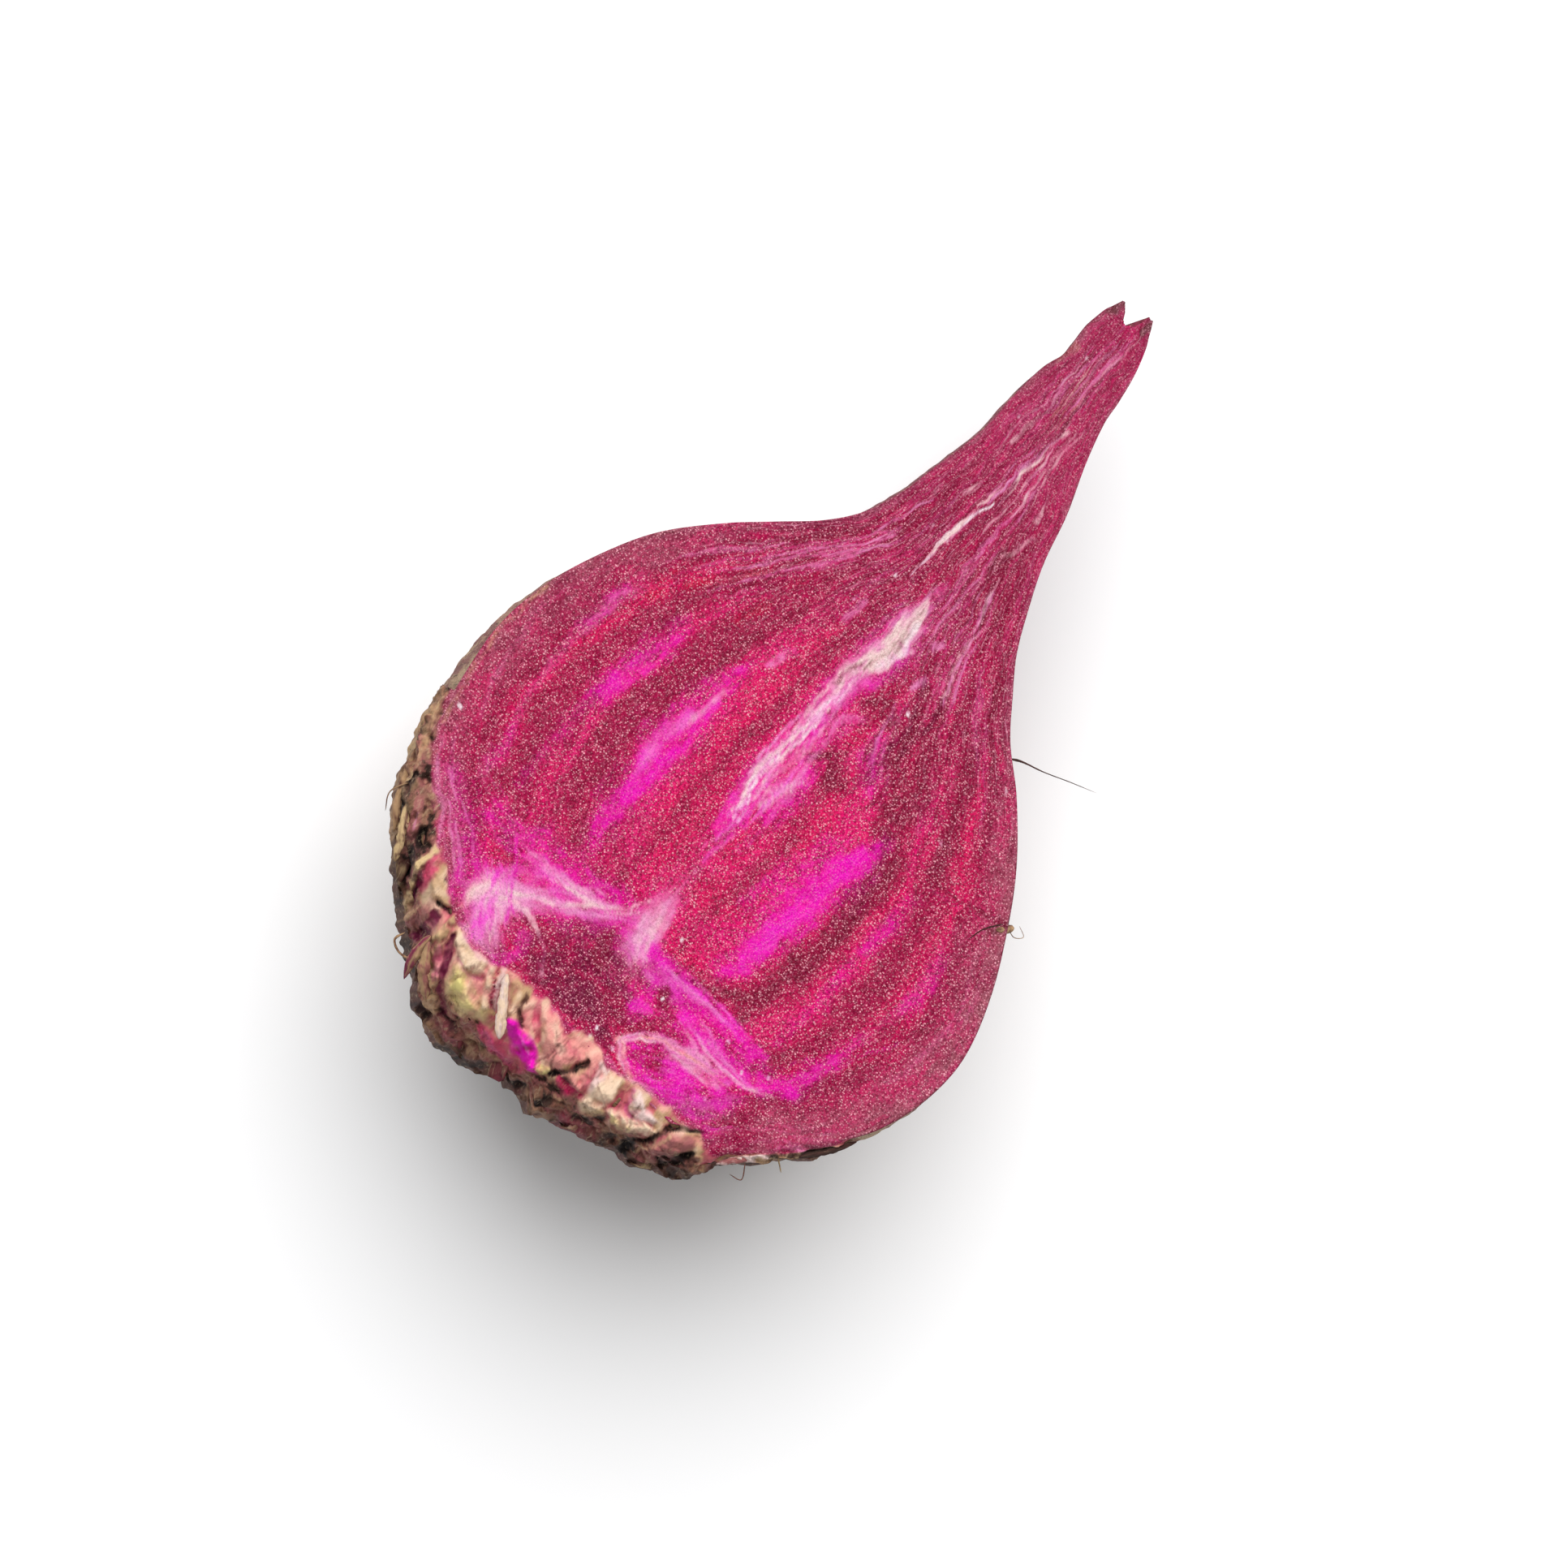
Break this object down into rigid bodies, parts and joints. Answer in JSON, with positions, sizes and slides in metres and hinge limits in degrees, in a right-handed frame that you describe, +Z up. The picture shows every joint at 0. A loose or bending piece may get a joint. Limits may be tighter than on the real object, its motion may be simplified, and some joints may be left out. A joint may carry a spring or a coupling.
{
  "type": "beetroot half",
  "caption": "Half of a red beetroot cut lengthwise, lying on its rounded back, with trimmed leaf-stalk bases at the crown and a tapering tail.",
  "frame": {"origin": "on the board, in the middle of the small flat spot that the half rests on", "axes": "+X along the root towards the tail, +Z up, +Y to the left of the root seen from above"},
  "size_m": [0.1157, 0.0717, 0.0464],
  "materials": {
    "beet_flesh": "moist cut flesh with brown skin on the outside",
    "dry_stalk": "dry, fibrous, matt"
  },
  "bodies": {
    "root": {"root_half": "beet_flesh", "leaf_stalk_stubs": "dry_stalk"}
  },
  "joints": []
}
